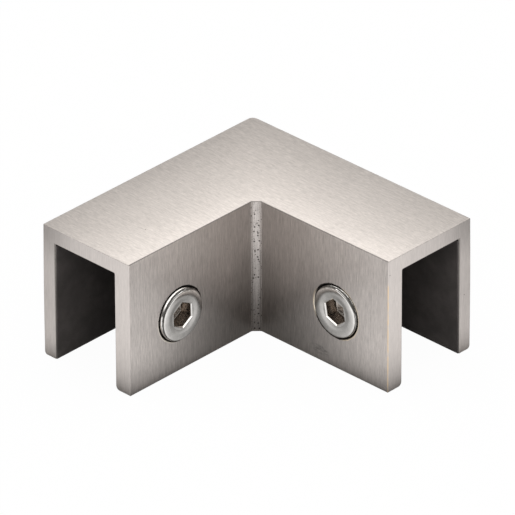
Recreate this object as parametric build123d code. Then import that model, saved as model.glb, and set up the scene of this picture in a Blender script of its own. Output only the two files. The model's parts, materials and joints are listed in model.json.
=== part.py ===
from build123d import *
import os

os.makedirs("parts", exist_ok=True)

# Glass clip: an L-shaped channel that sits over the top edges of two glass panes meeting
# at a right angle. A threaded plug in each inner wall pushes a padded plate against the
# pane, and a thin rubber liner on the outer wall takes the other side of it.
# Sizes are in millimetres. The right arm runs along +X and the left arm along -Y.
# While a piece is built, the outer corner of the L is at the origin, on the clip's feet.

# Channel casting
arm_length = 50.0
clip_width = 20.0
clip_height = 25.0
roof_thickness = 2.8
outer_wall = 2.7
inner_wall = 3.35
channel_draft = 0.3

# Hand-polished outside: the outer faces bulge a little and lean in towards the top
bulge_height = 8.0
foot_setback = 0.03
top_setback = 0.18

# Rounded and bevelled edges of the casting
notch_chamfer = 1.1
notch_chamfer_easing = 0.5
convex_corner_radius = 1.1
channel_inside_radius = 0.8
channel_outside_radius = 0.5
ceiling_radius = 0.3
outer_foot_radius = 0.6
inner_foot_radius = 0.8
top_edge_radius = 0.12
crisp_edge_radius = 0.1

# Threaded plug: fine thread, bevelled rim, dished face, hexagon socket, riveted nose
screw_from_end = 11.8
screw_height = 10.8
screw_diameter = 9.5
screw_length = 4.6
screw_rim_chamfer = 0.4
screw_tail_chamfer = 0.4
thread_clearance = 0.15
bore_chamfer = 0.2
socket_across_flats = 4.0
socket_depth = 2.1
socket_chamfer = 0.2
dish_radius = 3.3
dish_depth = 0.1
dish_landing = 0.6
nose_radius = 2.5
nose_head_radius = 3.4
nose_head_thickness = 0.7

# How far each plug stands out of its wall, and how its socket is turned
screw_stand_out = {"left": 0.8, "right": 0.4}
socket_turn = {"left": 32.0, "right": 40.0}

# Pressure plate and its rubber facing
plate_thickness = 1.5
plate_length = 14.0
plate_foot_gap = 1.0
plate_roof_gap = 0.5
plate_corner_radius = 1.5
nose_play = 0.05
nose_head_clearance = 0.1
pad_thickness = 1.0
pad_inset = 0.3
pad_edge_chamfer = 0.3

# Rubber liner on the outer wall
liner_thickness = 0.3
liner_foot_gap = 0.2
liner_roof_gap = 0.05
liner_corner_gap = 0.3

# Sizes that follow from the ones above
slot_depth = clip_height - roof_thickness
inner_wall_face = clip_width - inner_wall
ceiling_outer = outer_wall + channel_draft
screw_radius = screw_diameter / 2
screw_station = arm_length - screw_from_end
head_recess = nose_head_thickness + 2 * nose_play
nose_neck_length = plate_thickness - head_recess + 2 * nose_play
dish_inner_radius = socket_across_flats / 2 + dish_landing

# Round tools stand on the plane that they are placed on
standing = (Align.CENTER, Align.CENTER, Align.MIN)

# Frame of the right arm's cross-section: x runs in from the outer face, y runs up, and
# z runs from the arm's end towards the corner.
section_plane = Plane(origin=(arm_length, 0, 0), x_dir=(0, -1, 0), z_dir=(-1, 0, 0))

# The left arm is the right arm's mirror image across the L's diagonal
diagonal = Plane(origin=(0, 0, 0), z_dir=(1, 1, 0))

# Frames of the plugs: on the inner wall's outside, with z running into the wall
plug_planes = {
    "left": Plane(
        origin=(clip_width, -screw_station, screw_height), x_dir=(0, 1, 0), z_dir=(-1, 0, 0)
    ),
    "right": Plane(
        origin=(screw_station, -clip_width, screw_height), x_dir=(1, 0, 0), z_dir=(0, 1, 0)
    ),
}


def edges_near(solid, points):
    """The edge of the solid nearest to each point."""
    return [min(solid.edges(), key=lambda edge: edge.distance_to(Vertex(*p))) for p in points]


def on_both_arms(points):
    """Points on the right arm together with their mirror images on the left arm."""
    return points + [(-y, -x, z) for x, y, z in points]


def channel_section():
    """Cross-section of an arm: an inverted U whose outer wall leans in towards the roof."""
    foot = (foot_setback, 0)
    shoulder = (top_setback, clip_height)
    outer_face = ThreePointArc(foot, (0, bulge_height), shoulder)
    rest = Polyline(
        shoulder,
        (clip_width, clip_height),
        (clip_width, 0),
        (inner_wall_face, 0),
        (inner_wall_face, slot_depth),
        (ceiling_outer, slot_depth),
        (outer_wall, 0),
        foot,
    )
    return make_face([outer_face, rest])


def plug_bore():
    """Bore for a plug through the inner wall, opened by a small chamfer at both mouths."""
    bore_radius = screw_radius + thread_clearance
    mouth_radius = bore_radius + bore_chamfer
    bore = Cylinder(bore_radius, inner_wall, align=standing)
    mouth = Cone(mouth_radius, bore_radius, bore_chamfer, align=standing)
    tail = Cone(bore_radius, mouth_radius, bore_chamfer, align=standing)
    return bore + mouth + Pos(0, 0, inner_wall - bore_chamfer) * tail


def clamp_body():
    """The whole casting: two mitred arms, a bevelled notch, rounded edges and two bores."""
    blank = extrude(section_plane * channel_section(), amount=arm_length + clip_width)
    arm = split(blank, bisect_by=diagonal, keep=Keep.TOP)
    body = arm + mirror(arm, about=diagonal)

    half_height = clip_height / 2
    half_depth = slot_depth / 2
    notch_edge = (clip_width, -clip_width, half_height)
    body = chamfer(edges_near(body, [notch_edge]), notch_chamfer)
    bevel_edges = on_both_arms([(clip_width + notch_chamfer, -clip_width, half_height)])
    body = fillet(edges_near(body, bevel_edges), notch_chamfer_easing)
    corner_edges = (
        (0, convex_corner_radius, half_height),
        (outer_wall, channel_inside_radius, half_depth),
        (inner_wall_face, channel_outside_radius, half_depth),
    )
    for offset, radius, height in corner_edges:
        body = fillet(edges_near(body, [(offset, -offset, height)]), radius)

    middle = (arm_length + clip_width) / 2
    long_edges = (
        (foot_setback, 0, outer_foot_radius),
        (inner_wall_face, 0, inner_foot_radius),
        (ceiling_outer, slot_depth, ceiling_radius),
        (inner_wall_face, slot_depth, ceiling_radius),
        (outer_wall, 0, crisp_edge_radius),
        (clip_width, 0, crisp_edge_radius),
        (clip_width, clip_height, top_edge_radius),
        (top_setback, clip_height, top_edge_radius),
    )
    for inward, height, radius in long_edges:
        body = fillet(edges_near(body, on_both_arms([(middle, -inward, height)])), radius)

    for axis in (Axis.X, -Axis.Y):
        end_face = body.faces().sort_by(axis)[-1]
        body = fillet(end_face.edges(), crisp_edge_radius)

    for plane in plug_planes.values():
        body -= plane * plug_bore()
    return body


def arm_liner():
    """Right arm's liner: a thin strip on the outer wall, from the arm's end to the corner."""
    lean = channel_draft / slot_depth
    bottom = liner_foot_gap
    top = slot_depth - ceiling_radius - liner_roof_gap
    face_low = outer_wall + lean * bottom
    face_high = outer_wall + lean * top
    outline = Polyline(
        (face_low, bottom),
        (face_low + liner_thickness, bottom),
        (face_high + liner_thickness, top),
        (face_high, top),
        close=True,
    )
    corner_end = ceiling_outer + channel_inside_radius + liner_corner_gap
    return extrude(section_plane * make_face(outline), amount=arm_length - corner_end)


def clamp_screw(turn):
    """Plug with its front face at z = 0: rim, dished face, socket and riveted nose."""
    neck_end = screw_length + nose_neck_length
    head_end = neck_end + nose_head_thickness
    outline = Polyline(
        (0, dish_depth),
        (dish_inner_radius, dish_depth),
        (dish_radius, 0),
        (screw_radius - screw_rim_chamfer, 0),
        (screw_radius, screw_rim_chamfer),
        (screw_radius, screw_length - screw_tail_chamfer),
        (screw_radius - screw_tail_chamfer, screw_length),
        (nose_radius, screw_length),
        (nose_radius, neck_end),
        (nose_head_radius, neck_end),
        (nose_head_radius, head_end),
        (0, head_end),
        close=True,
    )
    plug = revolve(Plane.XZ * make_face(outline), Axis.Z)

    flats = RegularPolygon(socket_across_flats / 2, 6, major_radius=False)
    wide_flats = RegularPolygon(socket_across_flats / 2 + socket_chamfer, 6, major_radius=False)
    socket = extrude(Rot(0, 0, -turn) * flats, amount=socket_depth)
    mouth = loft([
        Pos(0, 0, dish_depth) * Rot(0, 0, -turn) * wide_flats,
        Pos(0, 0, dish_depth + socket_chamfer) * Rot(0, 0, -turn) * flats,
    ])
    return plug - socket - mouth


def plate_rise():
    """Height of the plate's middle above the plug's axis, and the plate's full height."""
    plate_height = slot_depth - plate_foot_gap - plate_roof_gap
    middle = plate_foot_gap + plate_height / 2
    return middle - screw_height, plate_height


def pressure_plate():
    """Plate with its back at z = 0 and a stepped hole that traps the plug's nose."""
    rise, height = plate_rise()
    outline = Pos(0, -rise) * RectangleRounded(plate_length, height, plate_corner_radius)
    plate = extrude(outline, amount=plate_thickness)
    hole = Cylinder(nose_radius + nose_play, plate_thickness, align=standing)
    recess = Cylinder(nose_head_radius + nose_head_clearance, head_recess, align=standing)
    return plate - hole - Pos(0, 0, plate_thickness - head_recess) * recess


def plate_pad():
    """Rubber facing with its back at z = 0 and a bevelled front edge."""
    rise, height = plate_rise()
    outline = Pos(0, -rise) * RectangleRounded(
        plate_length - 2 * pad_inset, height - 2 * pad_inset, plate_corner_radius - pad_inset
    )
    pad = extrude(outline, amount=pad_thickness)
    return chamfer(pad.faces().sort_by(Axis.Z)[-1].edges(), pad_edge_chamfer)


nodes = {"clamp_body": clamp_body()}
right_liner = arm_liner()
nodes["right_liner"] = right_liner
nodes["left_liner"] = mirror(right_liner, about=diagonal)
for side, plane in plug_planes.items():
    screw_front = -screw_stand_out[side]
    plate_back = screw_front + screw_length + nose_play
    pad_back = plate_back + plate_thickness
    nodes[side + "_clamp_screw"] = plane * Pos(0, 0, screw_front) * clamp_screw(socket_turn[side])
    nodes[side + "_pressure_plate"] = plane * Pos(0, 0, plate_back) * pressure_plate()
    nodes[side + "_plate_pad"] = plane * Pos(0, 0, pad_back) * plate_pad()

# The finished clip's origin is the middle of its footprint, on the surface it stands on
centre = Pos(-arm_length / 2, arm_length / 2, 0)
for name, solid in nodes.items():
    export_step(centre * solid, "parts/" + name + ".step")
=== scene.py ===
import bmesh
import bpy
import json
import math
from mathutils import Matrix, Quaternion, Vector


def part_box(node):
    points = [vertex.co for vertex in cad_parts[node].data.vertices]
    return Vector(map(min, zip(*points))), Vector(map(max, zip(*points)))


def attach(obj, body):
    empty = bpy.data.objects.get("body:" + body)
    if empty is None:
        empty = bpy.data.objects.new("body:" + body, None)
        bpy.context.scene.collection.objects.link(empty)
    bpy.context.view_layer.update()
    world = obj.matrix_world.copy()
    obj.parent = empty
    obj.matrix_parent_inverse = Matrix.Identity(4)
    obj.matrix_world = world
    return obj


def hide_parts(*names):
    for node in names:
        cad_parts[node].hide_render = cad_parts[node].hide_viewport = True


# The glass clip in brushed nickel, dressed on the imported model. Meshes, lamps and the camera
# are in metres, and the materials work in millimetres.
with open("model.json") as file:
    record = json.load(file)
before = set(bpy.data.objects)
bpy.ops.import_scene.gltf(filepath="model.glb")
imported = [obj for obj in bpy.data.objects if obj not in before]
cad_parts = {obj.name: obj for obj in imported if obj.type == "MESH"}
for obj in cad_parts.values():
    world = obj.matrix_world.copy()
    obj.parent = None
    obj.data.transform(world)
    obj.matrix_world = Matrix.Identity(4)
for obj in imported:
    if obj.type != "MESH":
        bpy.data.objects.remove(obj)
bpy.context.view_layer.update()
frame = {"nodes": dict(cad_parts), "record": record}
MM = 0.001
DIAGONAL = math.sqrt(0.5)

# The casting, in millimetres. Its outer corner is at low x and high y, and the outsides of
# its two inner walls meet at the notch.
clip_low, clip_high = [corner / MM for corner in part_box("clamp_body")]
CLIP_WIDTH = 20
INNER_WALL = 3.35
OUTER_WALL = 2.7
SLOT_DEPTH = 22.2
ARM_REACH = 30
NOTCH_BEVEL = 1.1
BORE_RADIUS = 4.9
BORE_MOUTH = 5.1
notch_x = clip_low.x + CLIP_WIDTH
notch_y = clip_high.y - CLIP_WIDTH

# Colours of the casting. The lip of each bore is bare on one side.
NICKEL = (0.55, 0.507, 0.48)
CAST_METAL = (0.28, 0.26, 0.24)
WORN_BRASS = (0.74, 0.56, 0.36)
# Bare brass on each bore's lip; the left one is lightened to near white as a painted highlight
BARE_LIP_AND_HIGHLIGHT = {"left": (0.95, 0.88, 0.77), "right": (0.88, 0.76, 0.58)}
HOLE_BLACK = (0.05, 0.045, 0.04)
# Near-black painted shade, in each bore and round its mouth
BORE_SHADE_BLACK = (0.02, 0.018, 0.016)

# How much of each colour shows where it lies, and how bright two darker places stay
HOLE_COVER = 0.95
BRASS_COVER = 0.8
BARE_LIP_COVER = 0.7
BORE_SHADE_COVER = 0.93
TOP_EDGE_SHADE = 0.4
RUBBED_SHADE = 0.6

# Gloss of the casting, and how deep its grain and holes look in millimetres
SATIN_ROUGHNESS = (0.30, 0.40)
CAST_ROUGHNESS_ADDED = 0.25
BRUSHED_SPREAD = 0.5
MARK_DEPTH = 0.004
HOLE_DEPTH = 0.02
CAST_GRAIN_DEPTH = 0.03

# Brush marks: noise cells to each millimetre along x, y and z, on the walls and on the top,
# and how much they darken or lighten the metal
FINE_MARKS = ((7.0, 7.0, 0.45), (0.7, 5.5, 1.0))
COARSE_MARKS = ((2.2, 2.2, 0.1), (0.15, 2.2, 1.0))
FINE_CONTRAST = 0.19
COARSE_CONTRAST = 0.05
CLOUD_CONTRAST = 0.012
MARKS_ON_TOP = 0.8
MARKS_ON_ENDS = 0.55

# Cells to each millimetre that hold the notch's pores and specks, and the stray pits
PORE_CELLS = 2.2
SPECKLE_CELLS = 4.5
PIT_CELLS = 0.55

# Painted light and shade on the walls and the arms' ends. Each ramp gives where it starts and
# ends, in millimetres, and its value at both.
ALONG_WALL = (1.0, 22.0, 0.83, 1.12)
TOWARDS_ARM_END = (26.0, 31.0, 1.0, 0.92)
ABOVE_FEET = (0.0, 9.0, 0.78, 1.0)
NOTCH_SHADOW_HEIGHT = 9.5
NOTCH_SHADOW_RAMP = (3.0, 8.0)
NOTCH_SHADOW_ON_WALL = 0.88
NOTCH_SHADOW_ON_BEVEL = 0.76
FROM_TOP_CORNER = (0.0, 8.5, 0.68, 1.0)
UP_OUTER_LEG = (0.0, 12.0, 1.34, 1.0)

# How polishing has rounded the top: two sizes in millimetres, and the factor of the cube by
# which it falls more towards the notch
CROWN_RADIUS = 110
CORNER_EASE = 4
INNER_CROWN = 0.00023

# How the notch's bevel blends into the walls: slopes, and reach in millimetres
BEVEL_SLOPE = 0.52
WALL_SLOPE = 0.2
WALL_REACH = 0.45

# Rubbed patch: its place along x and z in millimetres, and one over its half sizes there
RUBBED_PLACE = (9.8, 0.0, 2.0)
RUBBED_SPREAD = (0.32, 0.0, 0.75)

# A bore's painted shade and bare lip reach this far behind the outside of its wall
BORE_REACH = 1.2 * INNER_WALL

# Colours of the other pieces
PLUG_NICKEL = (0.70, 0.68, 0.655)
SOCKET_BROWN = (0.43, 0.39, 0.355)
# Near-black painted shade for the roots of the thread
THREAD_ROOT_SHADE = (0.05, 0.045, 0.04)
ZINC = (0.56, 0.57, 0.58)
RUBBER = (0.062, 0.055, 0.053)
RUBBER_BLOOM = (0.09, 0.08, 0.077)

# Threaded plug
PLUG_RADIUS = 4.75 * MM
PLUG_LENGTH = 4.6 * MM
RIM_ROUNDING = 0.55 * MM
RIM_DENT = 0.02 * MM
DENT_WAVES = (5, 11, 17, 29)
TAIL_CHAMFER = 0.4 * MM
DISH_RADIUS = 3.3 * MM
DISH_LANDING = 2.6 * MM
DISH_DEPTH = 0.1 * MM
DISH_EASE = 0.05 * MM
SOCKET_APOTHEM = 2.0 * MM
SOCKET_DEPTH = 2.7 * MM
SOCKET_CHAMFER = 0.2 * MM
SOCKET_TURN = {"left": 32, "right": 40}
SOCKET_ROWS = 4
NOSE_RADIUS = 2.5 * MM
NOSE_HEAD_RADIUS = 3.4 * MM
NOSE_HEAD_THICKNESS = 0.7 * MM
NOSE_HEAD_EASE = 0.2 * MM
PLUG_SEGMENTS = 180
SHARP_ANGLE = 35

# Its thread: each turn has a long rise and a short drop, as shares of the pitch. Painted
# shade fills it up to the lit crests, from a little behind the front face.
THREAD_PITCH = 1.0 * MM
THREAD_DEPTH = 0.3 * MM
THREAD_START = {"left": 0.91, "right": 0.1}
THREAD_RISE = 0.55
THREAD_DROP = 0.12
THREAD_ROWS = 92
ROW_EASING = 0.35
UNSHADED_CREST = 0.11 * MM
ROOT_SHADE_START = 0.12 * MM

# The floor: its half width and level in metres, how much of it glows for the camera, and
# its grey, seen straight and in reflections. In reflections its shade fades this far from
# the clip in millimetres, and it is dimmer behind the clip than in front of it.
FLOOR_REACH = 6.0
FLOOR_LEVEL = -0.02 * MM
FLOOR_GLOW = 0.97
FLOOR_GREY = (0.6, 0.6, 0.6)
MIRRORED_GREY = (0.2, 0.2, 0.2)
SHADE_REACH = 6.0
NOTCH_SHADE = (22.0, 10.0)
FLOOR_BACK = (-22, 22, 0.27, 1.36)
FLOOR_FRONT = (24, 50, 1.0, 0.92)

# Lights: azimuth and elevation of each lamp, and how bright the world is by height
LAMPS = {"left_light": (-40, 35), "right_light": (128, 35)}
LAMP_DISTANCE = 0.9
LAMP_SIZE = 0.25
LAMP_WATTS = 0.4
WORLD_COLOUR = (1, 0.995, 0.975, 1)
WORLD_BY_HEIGHT = (0.25, 0.75, 0.17, 2.03)

# Camera of the photograph
CAMERA_AIM = Vector((-6.41, 6.77, 12.5)) * MM
CAMERA_AZIMUTH = 43.919
CAMERA_ELEVATION = 30.306
CAMERA_ROLL = -0.209
CAMERA_DISTANCE = 1449.5 * MM
CAMERA_LENS = 608.47
SENSOR_WIDTH = 36
CLIP_END = 10


class Graph:
    """The nodes of one material. An input that is a socket is linked, and a value is set."""

    def __init__(self, owner):
        owner.use_nodes = True
        self.tree = owner.node_tree
        self.tree.nodes.clear()

    def node(self, kind, inputs, output=0, **settings):
        made = self.tree.nodes.new("ShaderNode" + kind)
        for name, value in settings.items():
            setattr(made, name, value)
        for key, value in inputs.items():
            if isinstance(value, bpy.types.NodeSocket):
                self.tree.links.new(value, made.inputs[key])
            else:
                made.inputs[key].default_value = value
        return made.outputs[output] if made.outputs else None

    def math(self, operation, a, b=0.0):
        return self.node("Math", {0: a, 1: b}, operation=operation)

    def join(self, operation, values):
        """One number from two or more, taken into the operation one after another."""
        joined = values[0]
        for value in values[1:]:
            joined = self.math(operation, joined, value)
        return joined

    def plus(self, *values):
        return self.join("ADD", values)

    def minus(self, *values):
        return self.join("SUBTRACT", values)

    def times(self, *values):
        return self.join("MULTIPLY", values)

    def highest(self, *values):
        return self.join("MAXIMUM", values)

    def vector(self, operation, a, b):
        output = "Value" if operation == "DISTANCE" else "Vector"
        return self.node("VectorMath", {0: a, 1: b}, output, operation=operation)

    def point(self, x, y, z):
        return self.node("CombineXYZ", {0: x, 1: y, 2: z})

    def split(self, vector):
        made = self.tree.nodes.new("ShaderNodeSeparateXYZ")
        self.tree.links.new(vector, made.inputs[0])
        return made.outputs

    def remap(self, value, low, high, to_low=0.0, to_high=1.0):
        """The value's place between low and high, eased, as a number from to_low to to_high."""
        inputs = {"Value": value, "From Min": low, "From Max": high}
        inputs.update({"To Min": to_low, "To Max": to_high})
        return self.node("MapRange", inputs, interpolation_type="SMOOTHSTEP")

    def mix(self, factor, a, b):
        return self.node("Mix", {0: factor, 2: a, 3: b}, 0, data_type="FLOAT")

    def mix_vector(self, factor, a, b):
        return self.node("Mix", {0: factor, 4: a, 5: b}, 1, data_type="VECTOR")

    def mix_colour(self, factor, a, b):
        a, b = [(*colour, 1) if isinstance(colour, tuple) else colour for colour in (a, b)]
        return self.node("Mix", {0: factor, 6: a, 7: b}, 2, data_type="RGBA")

    def tint(self, colour, amount):
        """The colour times a grey amount."""
        return self.vector("MULTIPLY", colour, self.point(amount, amount, amount))

    def fade_in(self, value, reach):
        """0 where the value is 0, nearing 1 as it passes reach."""
        return self.minus(1.0, self.math("EXPONENT", self.math("DIVIDE", value, -reach)))

    def noise(self, place, scale, detail=2.0, roughness=0.5):
        """Noise from about 0.3 to 0.7, with scale cells to each millimetre along each axis."""
        inputs = {"Vector": self.vector("MULTIPLY", place, scale), "Scale": 1.0}
        inputs.update({"Detail": detail, "Roughness": roughness})
        return self.node("TexNoise", inputs)

    def cells(self, place, scale, output="Distance"):
        return self.node("TexVoronoi", {"Vector": place, "Scale": scale}, output)

    def bump(self, height, strength, distance):
        inputs = {"Height": height, "Strength": strength, "Distance": distance}
        return self.node("Bump", inputs, "Normal")

    def place(self):
        """Place on the object in millimetres."""
        return self.vector("MULTIPLY", self.node("TexCoord", {}, "Object"), (1 / MM,) * 3)

    def facing(self):
        """Direction that the surface faces, in the object's own axes."""
        return self.node("TexCoord", {}, "Normal")

    def surface(self, inputs):
        shader = self.node("BsdfPrincipled", inputs, "BSDF")
        self.node("OutputMaterial", {"Surface": shader})


def material(name):
    made = bpy.data.materials.new(name)
    return made, Graph(made)


class Casting(Graph):
    """The casting's nodes, with the places and masks that its finishes share."""

    def __init__(self, owner):
        super().__init__(owner)
        self.spot = self.place()
        self.x, self.y, self.z = self.split(self.spot)
        self.facing_x, self.facing_y, self.facing_z = self.split(self.facing())
        self.from_left = self.minus(self.x, clip_low.x)
        self.from_back = self.minus(clip_high.y, self.y)
        self.inward = self.math("MINIMUM", self.from_left, self.from_back)
        self.from_notch = self.from_upright(notch_x, notch_y)
        self.on_top = self.remap(self.math("ABSOLUTE", self.facing_z), 0.6, 0.8)

        # The arms' ends face outwards, as far from the notch as the casting goes
        outward = self.highest(self.facing_x, self.times(self.facing_y, -1.0))
        at_reach = self.remap(self.from_notch, ARM_REACH - 0.1, ARM_REACH)
        self.on_end = self.times(self.math("GREATER_THAN", outward, 0.5), at_reach)

        # The notch's bevel faces halfway between the two inner walls
        halfway = self.times(self.minus(self.facing_x, self.facing_y), DIAGONAL)
        self.bevel_facing = self.times(halfway, self.remap(self.from_notch, 3.0, 4.0, 1.0, 0.0))
        self.on_bevel = self.remap(self.bevel_facing, 0.8, 0.95)

    def from_upright(self, x, y):
        """Distance from the upright line through x and y."""
        return self.vector("DISTANCE", self.point(self.x, self.y, 0.0), (x, y, 0))


def brush_marks(g):
    """Fine and coarse marks, long along the grain, and the shade that they give the metal."""
    fine = g.noise(g.spot, g.mix_vector(g.on_top, *FINE_MARKS), 3, 0.8)
    coarse = g.noise(g.spot, g.mix_vector(g.on_top, *COARSE_MARKS), 2, 0.5)
    cloud = g.noise(g.spot, (0.09, 0.09, 0.09), 2, 0.5)
    marks = g.plus(
        g.remap(fine, 0.3, 0.7, -FINE_CONTRAST, FINE_CONTRAST),
        g.remap(coarse, 0.3, 0.7, -COARSE_CONTRAST, COARSE_CONTRAST),
    )
    marks = g.times(marks, g.mix(g.on_top, g.mix(g.on_end, 1.0, MARKS_ON_ENDS), MARKS_ON_TOP))
    clouds = g.remap(cloud, 0.35, 0.65, -CLOUD_CONTRAST, CLOUD_CONTRAST)
    return fine, coarse, g.plus(marks, clouds, 1.0)


def painted_light_and_shade(g):
    """Painted light and shade on the walls and the arms' ends. The top is even."""
    along = g.mix(g.highest(g.on_top, g.on_bevel), g.remap(g.from_notch, *ALONG_WALL), 1.0)
    near_end = g.mix(g.on_top, g.remap(g.from_notch, *TOWARDS_ARM_END), 1.0)

    # Painted shade: walls are darker low down on the arms, and at half height in the notch
    low = g.mix(g.remap(g.from_notch, 4.0, 22.0), 1.0, g.remap(g.z, *ABOVE_FEET))
    off_height = g.math("ABSOLUTE", g.minus(g.z, NOTCH_SHADOW_HEIGHT))
    darkest_shade = g.mix(g.on_bevel, NOTCH_SHADOW_ON_WALL, NOTCH_SHADOW_ON_BEVEL)
    shadow = g.remap(off_height, *NOTCH_SHADOW_RAMP, darkest_shade, 1.0)
    in_notch = g.mix(g.remap(g.from_notch, 3.0, 7.0, 1.0, 0.0), 1.0, shadow)
    walls = g.mix(g.highest(g.on_top, g.on_end), g.times(low, in_notch), 1.0)

    # Painted shade darkens the arms' ends at their outer top corner, and painted light brightens
    # them low on the outer leg
    top_corner = (0, 0, clip_high.z)
    from_corner = g.vector("DISTANCE", g.point(g.inward, 0.0, g.z), top_corner)
    outer_leg = g.remap(g.inward, 2.5, 4.0, 1.0, 0.0)
    leg = g.mix(outer_leg, 1.0, g.remap(g.z, *UP_OUTER_LEG))
    ends = g.mix(g.on_end, 1.0, g.times(g.remap(from_corner, *FROM_TOP_CORNER), leg))
    return g.times(along, near_end, walls, ends)


def top_edges(g):
    """Mask of the painted shade along the top's rounded edges, and along a fine line on the top
    beside the notch.
    """
    rounding = g.times(
        g.remap(g.facing_z, 0.1, 0.4), g.remap(g.facing_z, 0.85, 0.98, 1.0, 0.0)
    )
    to_left_wall = g.minus(notch_x, g.x)
    to_right_wall = g.minus(g.y, notch_y)
    to_bevel = g.times(g.plus(to_left_wall, to_right_wall, NOTCH_BEVEL), DIAGONAL)
    to_edge = g.highest(to_left_wall, to_right_wall, to_bevel)
    line = g.times(g.on_top, g.remap(to_edge, 0.1, 0.22, 1.0, 0.0))
    return g.times(g.highest(rounding, line), g.minus(1.0, g.on_end))


def notch_pores(g):
    """Mask of the pores in the notch's bevel, where the brush doesn't reach."""
    shape = g.remap(g.cells(g.spot, PORE_CELLS), 0.24, 0.40, 1.0, 0.0)
    pick = g.split(g.cells(g.spot, PORE_CELLS, "Color"))[0]
    crowding = g.remap(g.noise(g.spot, (0.3, 0.3, 0.3), 1), 0.42, 0.58, 0.75, 0.35)
    pores = g.times(shape, g.math("GREATER_THAN", pick, crowding))
    speckle = g.times(g.remap(g.cells(g.spot, SPECKLE_CELLS), 0.2, 0.4, 1.0, 0.0), 0.45)

    # There are more of them along the bevel's sides than in its middle
    aside = g.math("ABSOLUTE", g.minus(g.plus(g.x, g.y), notch_x + notch_y))
    by_sides = g.remap(g.times(aside, DIAGONAL), 0.0, 0.3, 0.4, 1.0)
    return g.times(g.highest(pores, speckle), g.remap(g.bevel_facing, 0.72, 0.85), by_sides)


def stray_pits(g):
    """Mask of a few single pits."""
    shape = g.remap(g.cells(g.spot, PIT_CELLS), 0.035, 0.06, 1.0, 0.0)
    pick = g.split(g.cells(g.spot, PIT_CELLS, "Color"))[1]
    return g.times(shape, g.remap(pick, 0.8, 0.82))


def rubbed_patch(g):
    """Mask of a patch low on the right arm's inner wall."""
    offset = g.vector("SUBTRACT", g.point(g.x, 0.0, g.z), RUBBED_PLACE)
    away = g.vector("DISTANCE", g.vector("MULTIPLY", offset, RUBBED_SPREAD), (0, 0, 0))
    broken = g.remap(g.noise(g.spot, (0.9, 0.9, 4.0), 3, 0.6), 0.4, 0.6)
    on_wall = g.remap(g.times(g.facing_y, -1.0), 0.8, 0.95)
    return g.times(g.remap(away, 0.2, 1.0, 1.0, 0.0), broken, on_wall)


def worn_edge(g):
    """Mask of the right arm's front edge below the roof, where the brass shows through."""
    near = g.remap(g.from_upright(clip_high.x, notch_y), 0.08, 0.22, 1.0, 0.0)
    below = g.remap(g.z, 20.0, 21.5, 1.0, 0.0)
    patchy = g.remap(g.noise(g.spot, (0.8, 0.8, 0.5), 2), 0.35, 0.55, 0.3, 1.0)
    return g.times(near, below, patchy)


def in_channel(g):
    """Mask of the channel's inside."""
    inner_wall_face = CLIP_WIDTH - INNER_WALL
    past_outer_wall = g.remap(g.inward, OUTER_WALL - 0.1, OUTER_WALL + 0.05)
    before_inner_wall = g.remap(g.inward, inner_wall_face, inner_wall_face + 0.05, 1.0, 0.0)
    under_roof = g.remap(g.z, SLOT_DEPTH + 0.05, SLOT_DEPTH + 0.1, 1.0, 0.0)
    return g.times(past_outer_wall, before_inner_wall, under_roof)


def bore_mouth(g, side, base):
    """The base colour with painted shade in one bore and round its mouth, where the gap round
    the plug lies in shadow. On one side of the mouth the lip is left unshaded and shows
    brass where the nickel has been cut through."""
    low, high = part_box(side + "_clamp_screw")
    middle = (low + high) / 2 / MM
    if side == "left":
        out = g.vector("DISTANCE", g.point(0.0, g.y, g.z), (0, middle.y, middle.z))
        at_wall = g.math("GREATER_THAN", g.x, notch_x - BORE_REACH)
        unshaded_side = g.times(
            g.remap(g.y, middle.y - 2.5, middle.y - 0.5, 1.0, 0.0),
            g.remap(g.z, middle.z - 1.0, middle.z + 1.0, 1.0, 0.0),
        )
    else:
        out = g.vector("DISTANCE", g.point(g.x, 0.0, g.z), (middle.x, 0, middle.z))
        at_wall = g.math("LESS_THAN", g.y, notch_y + BORE_REACH)
        unshaded_side = g.highest(
            g.remap(g.x, middle.x - 5.0, middle.x - 4.0, 1.0, 0.0),
            g.remap(g.x, middle.x + 1.0, middle.x + 2.0),
        )
    ragged = g.plus(out, g.remap(g.noise(g.spot, (1.5, 1.5, 1.5), 2), 0.3, 0.7, -0.05, 0.05))
    bared = g.times(
        g.remap(ragged, BORE_MOUTH - 0.12, BORE_MOUTH - 0.06),
        g.remap(ragged, BORE_MOUTH + 0.1, BORE_MOUTH + 0.2, 1.0, 0.0),
    )
    # Bare brass on the lip, which on the left is partly a painted highlight
    bare_lip = g.times(bared, unshaded_side, at_wall, BARE_LIP_COVER)
    base = g.mix_colour(bare_lip, base, BARE_LIP_AND_HIGHLIGHT[side])
    shaded_lip = g.remap(ragged, BORE_MOUTH - 0.02, BORE_MOUTH + 0.06, 1.0, 0.0)
    shaded_bore = g.remap(out, BORE_RADIUS + 0.03, BORE_RADIUS + 0.1, 1.0, 0.0)
    # Painted shade: the bore, and its mouth away from the bare lip, go near black
    bore_shade = g.times(g.mix(unshaded_side, shaded_lip, shaded_bore), at_wall, BORE_SHADE_COVER)
    return g.mix_colour(bore_shade, base, BORE_SHADE_BLACK)


def crown(g):
    """Height of the top, which falls away from each arm's middle, more towards the notch."""
    half_gap = g.times(g.minus(g.from_left, g.from_back), 0.5)
    eased = g.math("SQRT", g.plus(g.times(half_gap, half_gap), CORNER_EASE**2))
    from_outside = g.minus(g.times(g.plus(g.from_left, g.from_back), 0.5), eased)
    from_crest = g.minus(from_outside, CLIP_WIDTH / 2)
    fall = g.times(from_crest, from_crest, 0.5 / CROWN_RADIUS)
    inner_fall = g.times(g.math("POWER", g.highest(from_crest, 0.0), 3.0), INNER_CROWN)
    return g.times(g.plus(fall, inner_fall), g.on_top, -1.0)


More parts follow.
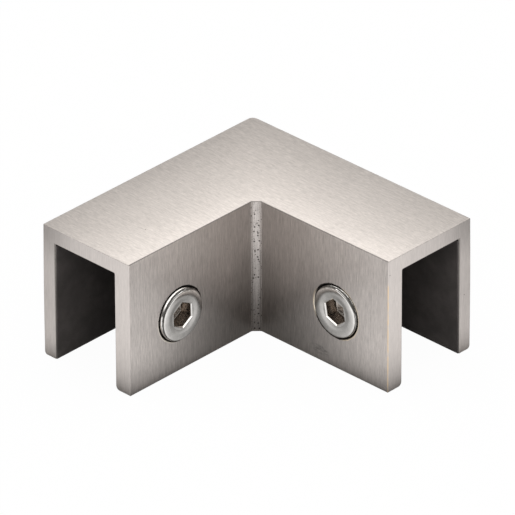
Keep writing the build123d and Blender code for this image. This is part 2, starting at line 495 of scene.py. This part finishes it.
def notch_blend(g):
    """Height that hollows the notch's bevel and blends it into the walls beside it."""
    across = g.math("MINIMUM", g.from_notch, NOTCH_BEVEL)
    bevel = g.times(across, across, BEVEL_SLOPE / 2 / NOTCH_BEVEL)
    along_wall = g.highest(g.minus(g.from_notch, NOTCH_BEVEL), 0.0)
    wall = g.times(g.fade_in(along_wall, WALL_REACH), WALL_SLOPE * WALL_REACH)
    return g.times(g.minus(bevel, wall), g.minus(1.0, g.on_top))


def brushed_nickel():
    """Satin nickel on a casting: top brushed along x, walls and ends brushed upright."""
    made = bpy.data.materials.new("brushed_nickel")
    g = Casting(made)
    fine, coarse, shade = brush_marks(g)
    # Painted light and shade on the walls and the arms' ends tints the brushed nickel
    base = g.tint(g.tint(NICKEL, shade), painted_light_and_shade(g))
    # Painted shade: dark lines along the top's edges
    base = g.tint(base, g.mix(top_edges(g), 1.0, TOP_EDGE_SHADE))
    holes = g.highest(notch_pores(g), stray_pits(g))
    base = g.mix_colour(g.times(holes, HOLE_COVER), base, HOLE_BLACK)
    base = g.tint(base, g.mix(rubbed_patch(g), 1.0, RUBBED_SHADE))
    base = g.mix_colour(g.times(worn_edge(g), BRASS_COVER), base, WORN_BRASS)

    # The channel is left as cast: dull and grainy
    inside = in_channel(g)
    cast_grain = g.noise(g.spot, (3.0, 3.0, 3.0), 4, 0.7)
    cast_metal = g.tint(CAST_METAL, g.remap(cast_grain, 0.3, 0.7, 0.8, 1.2))
    base = g.mix_colour(inside, base, cast_metal)
    for side in ("left", "right"):
        base = bore_mouth(g, side, base)

    satin = g.remap(fine, 0.25, 0.75, *SATIN_ROUGHNESS)
    roughness = g.plus(satin, g.times(inside, CAST_ROUGHNESS_ADDED))
    grain = g.plus(g.times(fine, MARK_DEPTH), g.times(coarse, MARK_DEPTH))
    brushed = g.plus(g.minus(grain, g.times(holes, HOLE_DEPTH)), crown(g))
    height = g.mix(inside, brushed, g.times(cast_grain, CAST_GRAIN_DEPTH))
    height = g.plus(height, notch_blend(g))

    # Brush marks spread a reflection across themselves
    tangent = g.mix_vector(g.on_top, g.vector("CROSS_PRODUCT", g.facing(), (0, 0, 1)), (0, 1, 0))
    g.surface({
        "Base Color": base,
        "Metallic": 1.0,
        "Roughness": roughness,
        "Anisotropic": BRUSHED_SPREAD,
        "Tangent": tangent,
        "Normal": g.bump(height, 1.0, MM),
    })
    return made


def bright_steel():
    """Bright nickel on the turned plugs."""
    made, g = material("bright_steel")
    mottle = g.noise(g.place(), (1.2, 1.2, 1.2), 3, 0.6)
    scratch = g.noise(g.place(), (5.0, 5.0, 5.0), 4, 0.7)
    g.surface({
        "Base Color": g.tint(PLUG_NICKEL, g.remap(mottle, 0.3, 0.7, 0.94, 1.06)),
        "Metallic": 1.0,
        "Roughness": g.remap(scratch, 0.3, 0.7, 0.09, 0.17),
        "Normal": g.bump(scratch, 0.3, 0.005 * MM),
    })
    return made


def socket_steel():
    """The socket's walls and floor: bare, oily brown steel with broaching marks."""
    made, g = material("socket_steel")
    marks = g.noise(g.place(), (4.0, 4.0, 4.0), 3, 0.6)
    g.surface({
        "Base Color": g.tint(SOCKET_BROWN, g.remap(marks, 0.3, 0.7, 0.85, 1.15)),
        "Metallic": 1.0,
        "Roughness": g.remap(marks, 0.3, 0.7, 0.16, 0.28),
        "Normal": g.bump(marks, 0.2, 0.004 * MM),
    })
    return made


def thread_root_shade():
    """Painted shade in the roots of the thread, near black where the roots lie in shadow."""
    made, g = material("thread_root_shade")
    clumps = g.noise(g.place(), (3.0, 3.0, 3.0), 3, 0.6)
    g.surface({
        "Base Color": g.tint(THREAD_ROOT_SHADE, g.remap(clumps, 0.3, 0.7, 0.5, 1.6)),
        "Roughness": g.remap(clumps, 0.3, 0.7, 0.4, 0.6),
        "Normal": g.bump(clumps, 0.5, 0.02 * MM),
    })
    return made


def plate_steel():
    """Zinc plated sheet steel with faint spangle and rolling lines."""
    made, g = material("plate_steel")
    spangle = g.split(g.cells(g.place(), 0.6, "Color"))[0]
    grain = g.noise(g.place(), (0.2, 0.2, 6.0), 3, 0.6)
    shade = g.plus(g.remap(spangle, 0.0, 1.0, 0.92, 1.0), g.remap(grain, 0.3, 0.7, 0.0, 0.08))
    g.surface({
        "Base Color": g.tint(ZINC, shade),
        "Metallic": 1.0,
        "Roughness": g.remap(grain, 0.3, 0.7, 0.35, 0.5),
        "Normal": g.bump(grain, 0.4, 0.01 * MM),
    })
    return made


def black_rubber():
    """Matte black rubber with a fine pebbled skin and a little grey bloom."""
    made, g = material("black_rubber")
    pebble = g.noise(g.place(), (5.0, 5.0, 5.0), 3, 0.6)
    bloom = g.remap(g.noise(g.place(), (0.25, 0.25, 0.25), 3, 0.6), 0.3, 0.7)
    g.surface({
        "Base Color": g.mix_colour(bloom, RUBBER, RUBBER_BLOOM),
        "Roughness": g.remap(pebble, 0.3, 0.7, 0.6, 0.8),
        "Specular IOR Level": 0.3,
        "Normal": g.bump(pebble, 0.5, 0.03 * MM),
    })
    return made


materials = {
    "brushed_nickel": brushed_nickel(),
    "bright_steel": bright_steel(),
    "socket_steel": socket_steel(),
    "thread_root_shade": thread_root_shade(),
    "plate_steel": plate_steel(),
    "black_rubber": black_rubber(),
}


def hexagon_radius(angle, turn):
    """Distance from the middle to the hexagon's edge, where its corners are at turn + 60 k."""
    sixth = math.pi / 3
    from_middle = (angle - turn) % sixth - sixth / 2
    return SOCKET_APOTHEM / math.cos(from_middle)


def thread_radius(angle, depth, start):
    """Radius of the worn right-hand thread, with a rounded front rim and a tail chamfer."""
    from_root = (depth / THREAD_PITCH + angle / (2 * math.pi) + start + 0.5) % 1
    flank = min(from_root / THREAD_RISE, (1 - from_root) / THREAD_DROP, 1.0)
    thread = PLUG_RADIUS - THREAD_DEPTH * (1 - flank) ** 1.5
    into_rim = max(RIM_ROUNDING - depth, 0) / RIM_ROUNDING
    rim = PLUG_RADIUS - RIM_ROUNDING * (1 - math.sqrt(1 - into_rim**2))
    tail = PLUG_RADIUS - max(TAIL_CHAMFER - (PLUG_LENGTH - depth), 0)
    # Handling has dented the rim
    dents = sum(math.sin(waves * angle + 7 * waves * start) for waves in DENT_WAVES)
    return min(thread, rim, tail) - RIM_DENT * into_rim * (1 + dents / len(DENT_WAVES))


def plug_rows(turn, start, neck_end, head_end):
    """Rows round the plug from its nose to its socket, each giving (radius, depth) by angle."""

    def ring(radius, depth):
        return lambda angle: (radius, depth)

    def threaded(depth):
        return lambda angle: (thread_radius(angle, depth, start), depth)

    def socket(apothem, depth):
        return lambda angle: (hexagon_radius(angle, turn) * apothem / SOCKET_APOTHEM, depth)

    rows = [
        ring(NOSE_HEAD_RADIUS * 0.6, head_end),
        ring(NOSE_HEAD_RADIUS * 0.93, head_end),
        ring(NOSE_HEAD_RADIUS, head_end - NOSE_HEAD_EASE),
        ring(NOSE_HEAD_RADIUS, neck_end),
        ring(NOSE_RADIUS, neck_end),
        ring(NOSE_RADIUS, PLUG_LENGTH),
    ]
    # The rows of the thread lie closer together towards the plug's two ends
    for i in range(THREAD_ROWS):
        share = i / THREAD_ROWS
        eased = (1 - math.cos(math.pi * share)) / 2
        from_tail = ROW_EASING * eased + (1 - ROW_EASING) * share
        rows.append(threaded(PLUG_LENGTH * (1 - from_tail)))
    rows += [
        ring(PLUG_RADIUS - RIM_ROUNDING, 0.0),
        ring(DISH_RADIUS + DISH_EASE, 0.0),
        ring(DISH_RADIUS - DISH_EASE, DISH_EASE / 5),
        ring(DISH_LANDING + DISH_EASE, DISH_DEPTH - DISH_EASE / 5),
        ring(DISH_LANDING, DISH_DEPTH),
        socket(SOCKET_APOTHEM + SOCKET_CHAMFER, DISH_DEPTH),
        socket(SOCKET_APOTHEM + 0.03 * MM, DISH_DEPTH + SOCKET_CHAMFER - 0.03 * MM),
        socket(SOCKET_APOTHEM, DISH_DEPTH + SOCKET_CHAMFER + 0.05 * MM),
        socket(SOCKET_APOTHEM * 0.99, SOCKET_DEPTH - 0.08 * MM),
        socket(SOCKET_APOTHEM * 0.94, SOCKET_DEPTH),
        socket(SOCKET_APOTHEM * 0.35, SOCKET_DEPTH + 0.12 * MM),
    ]
    return rows


def in_root_shade(depth, radius):
    """Whether a face at this depth and radius gets the thread's painted shade."""
    above_root = radius - (PLUG_RADIUS - THREAD_DEPTH)
    in_thread = ROOT_SHADE_START < depth < PLUG_LENGTH
    return in_thread and abs(above_root) < THREAD_DEPTH - UNSHADED_CREST


def threaded_plug(side):
    """A plug with a real thread, hexagon socket and riveted nose, where its CAD solid is."""
    node = side + "_clamp_screw"
    low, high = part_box(node)
    middle = (low + high) / 2
    if side == "left":
        front = Vector((high.x, middle.y, middle.z))
        across, inward = Vector((0, 1, 0)), Vector((-1, 0, 0))
    else:
        front = Vector((middle.x, low.y, middle.z))
        across, inward = Vector((1, 0, 0)), Vector((0, 1, 0))
    head_end = abs((high - low).dot(inward))
    neck_end = head_end - NOSE_HEAD_THICKNESS
    rows = plug_rows(math.radians(SOCKET_TURN[side]), THREAD_START[side], neck_end, head_end)

    made = bmesh.new()
    rings = []
    for row in rows:
        verts = []
        for i in range(PLUG_SEGMENTS):
            angle = 2 * math.pi * i / PLUG_SEGMENTS
            radius, depth = row(angle)
            out = across * math.cos(angle) + Vector((0, 0, 1)) * math.sin(angle)
            verts.append(made.verts.new(front + out * radius + inward * depth))
        rings.append(verts)
    for row in range(1, len(rings)):
        a, b = rings[row - 1], rings[row]
        for i in range(PLUG_SEGMENTS):
            j = (i + 1) % PLUG_SEGMENTS
            face = made.faces.new((a[i], a[j], b[j], b[i]))
            into = face.calc_center_median() - front
            depth = into.dot(inward)
            # Socket faces get the socket steel, and faces in the thread's roots the painted
            # shade
            if row >= len(rings) - SOCKET_ROWS:
                face.material_index = 1
            elif in_root_shade(depth, (into - inward * depth).length):
                face.material_index = 2
    made.faces.new(rings[0])
    made.faces.new(rings[-1]).material_index = 1
    bmesh.ops.recalc_face_normals(made, faces=made.faces)
    for face in made.faces:
        face.smooth = True

    mesh = bpy.data.meshes.new(side + "_threaded_plug")
    made.to_mesh(mesh)
    made.free()
    mesh.set_sharp_from_angle(angle=math.radians(SHARP_ANGLE))
    for name in ("bright_steel", "socket_steel", "thread_root_shade"):
        mesh.materials.append(materials[name])

    plug = bpy.data.objects.new(side + "_threaded_plug", mesh)
    bpy.context.scene.collection.objects.link(plug)
    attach(plug, side + "_screw")
    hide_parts(node)


def dress_frame():
    """Every CAD node gets the material of its slot."""
    for subpart in frame["record"]["subparts"]:
        node = frame["nodes"][subpart["node"]]
        node.data.materials.clear()
        node.data.materials.append(materials[subpart["material_slot"]])


def footprint_distance(g, x, y):
    """Distance in millimetres from a point on the floor to the clip's L-shaped footprint."""
    arms = (
        (clip_low.x, notch_y, clip_high.x, clip_high.y),
        (clip_low.x, clip_low.y, notch_x, clip_high.y),
    )
    distances = []
    for x_low, y_low, x_high, y_high in arms:
        gaps = []
        for at, low, high in ((x, x_low, x_high), (y, y_low, y_high)):
            from_middle = g.math("ABSOLUTE", g.minus(at, (low + high) / 2))
            gaps.append(g.highest(g.minus(from_middle, (high - low) / 2), 0.0))
        distances.append(g.vector("DISTANCE", g.point(*gaps, 0.0), (0, 0, 0)))
    return g.math("MINIMUM", *distances)


def floor():
    """A wide white floor. Reflections show it white too, apart from a shade round the clip."""
    made, g = material("white_floor")
    x, y = g.split(g.place())[:2]
    forward = g.minus(x, y)
    # The shade in the notch is an ellipse along the diagonal
    along_reach, aside_reach = [math.sqrt(2) * reach for reach in NOTCH_SHADE]
    along = g.math("DIVIDE", g.minus(forward, notch_x - notch_y), along_reach)
    aside = g.math("DIVIDE", g.minus(g.plus(x, y), notch_x + notch_y), aside_reach)
    out_of_notch = g.plus(g.times(along, along), g.times(aside, aside))
    from_clip = g.fade_in(footprint_distance(g, x, y), SHADE_REACH)
    away = g.times(from_clip, g.fade_in(out_of_notch, 1.0))
    reflected = g.times(g.remap(forward, *FLOOR_BACK), g.remap(forward, *FLOOR_FRONT))

    path = g.tree.nodes.new("ShaderNodeLightPath").outputs
    seen = g.times(path["Is Camera Ray"], FLOOR_GLOW)
    mirrored = g.times(g.highest(path["Is Glossy Ray"], path["Is Transmission Ray"]), away)
    grey = g.mix_colour(path["Is Glossy Ray"], FLOOR_GREY, MIRRORED_GREY)
    strength = g.mix(path["Is Camera Ray"], reflected, 1.0)
    diffuse = g.node("BsdfDiffuse", {"Color": grey})
    glow = g.node("Emission", {"Color": (1, 1, 1, 1), "Strength": strength})
    shader = g.node("MixShader", {0: g.plus(seen, mirrored), 1: diffuse, 2: glow})
    g.node("OutputMaterial", {"Surface": shader})

    mesh = bpy.data.meshes.new("floor")
    signs = ((-1, -1), (1, -1), (1, 1), (-1, 1))
    corners = [(FLOOR_REACH * across, FLOOR_REACH * up, FLOOR_LEVEL) for across, up in signs]
    mesh.from_pydata(corners, [], [(0, 1, 2, 3)])
    mesh.materials.append(made)
    plane = bpy.data.objects.new("floor", mesh)
    bpy.context.scene.collection.objects.link(plane)


def direction(azimuth, elevation):
    """Direction from the clip at an azimuth, which is 0 towards -Y, and an elevation."""
    a, e = math.radians(azimuth), math.radians(elevation)
    return Vector((math.sin(a) * math.cos(e), -math.cos(a) * math.cos(e), math.sin(e)))


def lamp(name, azimuth, elevation):
    """A square soft light on the side that azimuth and elevation give, turned to the clip."""
    data = bpy.data.lights.new(name, "AREA")
    data.shape = "SQUARE"
    data.size = LAMP_SIZE
    data.energy = LAMP_WATTS
    towards = direction(azimuth, elevation)
    made = bpy.data.objects.new(name, data)
    made.location = CAMERA_AIM + towards * LAMP_DISTANCE
    made.rotation_mode = "QUATERNION"
    made.rotation_quaternion = towards.to_track_quat("Z", "Y")
    bpy.context.scene.collection.objects.link(made)


def lights():
    """Two lamps, and a world that is bright overhead and dim near the horizon."""
    world = bpy.data.worlds.new("studio")
    bpy.context.scene.world = world
    g = Graph(world)
    up = g.split(g.node("TexCoord", {}, "Generated"))[2]
    strength = g.remap(up, *WORLD_BY_HEIGHT)
    background = g.node("Background", {"Color": WORLD_COLOUR, "Strength": strength})
    g.node("OutputWorld", {"Surface": background})
    for name, angles in LAMPS.items():
        lamp(name, *angles)


def camera():
    """The photograph's camera."""
    data = bpy.data.cameras.new("photo_camera")
    data.lens = CAMERA_LENS
    data.sensor_width = SENSOR_WIDTH
    data.clip_end = CLIP_END
    back = direction(CAMERA_AZIMUTH, CAMERA_ELEVATION)
    made = bpy.data.objects.new("photo_camera", data)
    made.rotation_mode = "QUATERNION"
    level = (-back).to_track_quat("-Z", "Y")
    made.rotation_quaternion = level @ Quaternion((0, 0, 1), math.radians(CAMERA_ROLL))
    made.location = CAMERA_AIM + back * CAMERA_DISTANCE
    bpy.context.scene.collection.objects.link(made)
    bpy.context.scene.camera = made


camera()
floor()
lights()
dress_frame()
for side in ("left", "right"):
    threaded_plug(side)
bpy.context.scene.view_settings.view_transform = "Standard"
